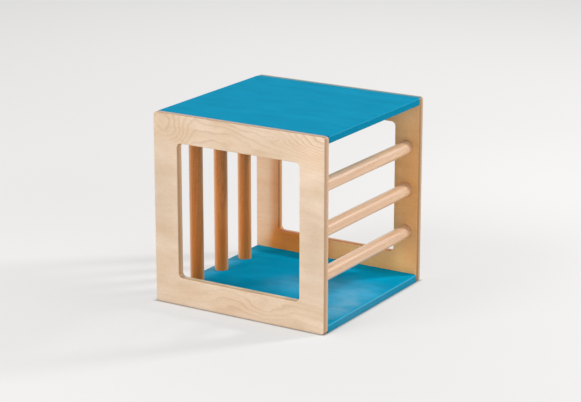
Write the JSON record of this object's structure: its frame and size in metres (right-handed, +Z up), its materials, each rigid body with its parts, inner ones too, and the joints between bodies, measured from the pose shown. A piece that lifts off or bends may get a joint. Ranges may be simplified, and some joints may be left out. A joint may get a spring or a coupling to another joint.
{
  "type": "climbing cube",
  "caption": "Plywood climbing cube with a square window in each side panel, blue floor and top boards, upright bars on one open side and level bars on the other.",
  "frame": {"origin": "on the floor, under the middle of the cube", "axes": "+Z up; X along the side panels, from the side with the upright bars (-X) to the side with the level bars (+X); the front panel faces -Y and the rear panel +Y"},
  "size_m": [0.5, 0.5, 0.5],
  "materials": {
    "birch_plywood": "clear satin varnish",
    "blue_stained_plywood": "blue stain under satin varnish",
    "varnished_beech": "clear satin varnish",
    "raw_beech": "raw, glued"
  },
  "bodies": {
    "root": {"front_panel": "birch_plywood", "rear_panel": "birch_plywood", "bottom_board": "blue_stained_plywood", "top_board": "blue_stained_plywood", "upright_bar_front": "varnished_beech", "upright_bar_middle": "varnished_beech", "upright_bar_rear": "varnished_beech", "level_bar_lower": "varnished_beech", "level_bar_middle": "varnished_beech", "level_bar_upper": "varnished_beech", "dowel_front_bottom_1": "raw_beech", "dowel_front_bottom_2": "raw_beech", "dowel_front_bottom_3": "raw_beech", "dowel_front_bottom_4": "raw_beech", "dowel_front_top_1": "raw_beech", "dowel_front_top_2": "raw_beech", "dowel_front_top_3": "raw_beech", "dowel_front_top_4": "raw_beech", "dowel_rear_bottom_1": "raw_beech", "dowel_rear_bottom_2": "raw_beech", "dowel_rear_bottom_3": "raw_beech", "dowel_rear_bottom_4": "raw_beech", "dowel_rear_top_1": "raw_beech", "dowel_rear_top_2": "raw_beech", "dowel_rear_top_3": "raw_beech", "dowel_rear_top_4": "raw_beech"}
  },
  "joints": []
}
